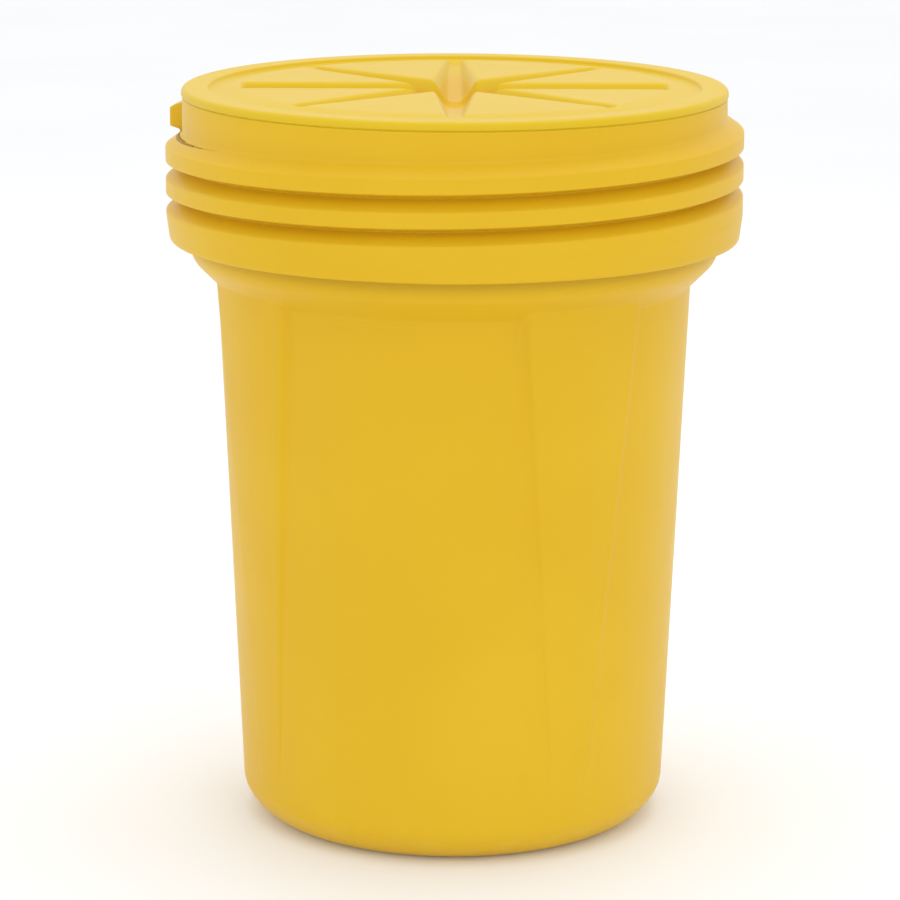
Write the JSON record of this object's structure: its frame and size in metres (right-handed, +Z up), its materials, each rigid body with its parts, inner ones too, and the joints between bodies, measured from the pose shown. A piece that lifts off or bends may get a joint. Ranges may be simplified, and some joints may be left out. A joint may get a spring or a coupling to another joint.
{
  "type": "overpack salvage drum",
  "caption": "Tapered open-head plastic overpack drum with a shoulder, raised body ribs, and a deep screw lid with a helical thread, a sunk panel relief and a ring gasket.",
  "frame": {"origin": "middle of the base, on the floor that the drum stands on", "axes": "+Z up along the drum's axis, which is also the screw's axis; -Y is the front; the thread is right-handed about +Z"},
  "size_m": [0.562, 0.562, 0.727],
  "materials": {
    "drum_plastic": "satin blow-moulded polyethylene",
    "lid_plastic": "satin blow-moulded polyethylene",
    "gasket_rubber": "matt moulded rubber"
  },
  "bodies": {
    "drum": {"drum": "drum_plastic"},
    "gasket": {"lid_gasket": "gasket_rubber"},
    "lid": {"screw_lid": "lid_plastic"}
  },
  "joints": [
    {"name": "lid_lift", "type": "slide", "parent": "drum", "child": "gasket", "axis": [0, 0, 1], "range_m": [0, 0.1551]},
    {"name": "lid_turn", "type": "hinge", "parent": "gasket", "child": "lid", "pos_m": [0, 0, 0.65], "axis": [0, 0, 1], "range_deg": [0, 1800]}
  ],
  "couplings": [
    {"joint": "lid_lift", "follows": "lid_turn", "m_per_rad": 0.0049338}
  ]
}
